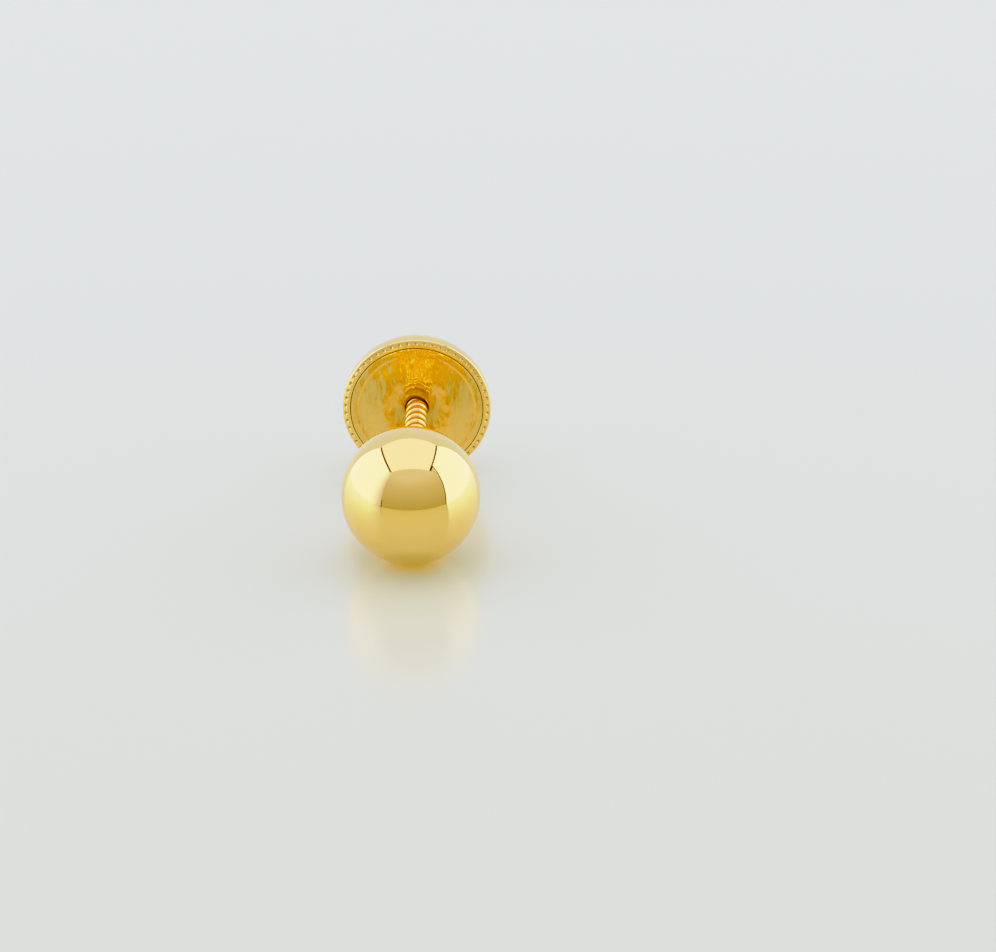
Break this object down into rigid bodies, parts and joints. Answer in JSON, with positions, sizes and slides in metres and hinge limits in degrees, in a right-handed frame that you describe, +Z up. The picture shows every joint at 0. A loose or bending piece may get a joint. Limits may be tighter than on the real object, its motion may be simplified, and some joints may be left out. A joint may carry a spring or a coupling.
{
  "type": "ball stud earring",
  "caption": "Polished gold ball stud earring with a threaded post and a domed screw-on back with a milled rim, lying on its ball and rim.",
  "frame": {"origin": "on the surface that the stud lies on, under the middle of its bounding box", "axes": "+Y from the ball to the back, +Z up, +X to the right as seen from the ball's side"},
  "size_m": [0.0056, 0.012, 0.0057],
  "materials": {
    "ball_gold": "mirror polished yellow gold",
    "plate_gold": "polished yellow gold, slightly wavy as pressed",
    "cap_gold": "polished yellow gold"
  },
  "bodies": {
    "stud": {"ball_post": "ball_gold"},
    "screw_back": {"back_plate": "plate_gold", "back_cap": "cap_gold"}
  },
  "joints": [
    {"name": "back_unscrews", "type": "slide", "parent": "stud", "child": "screw_back", "axis": [0, 0.9991, 0.0427], "range_m": [-0.0007, 0.0008]}
  ]
}
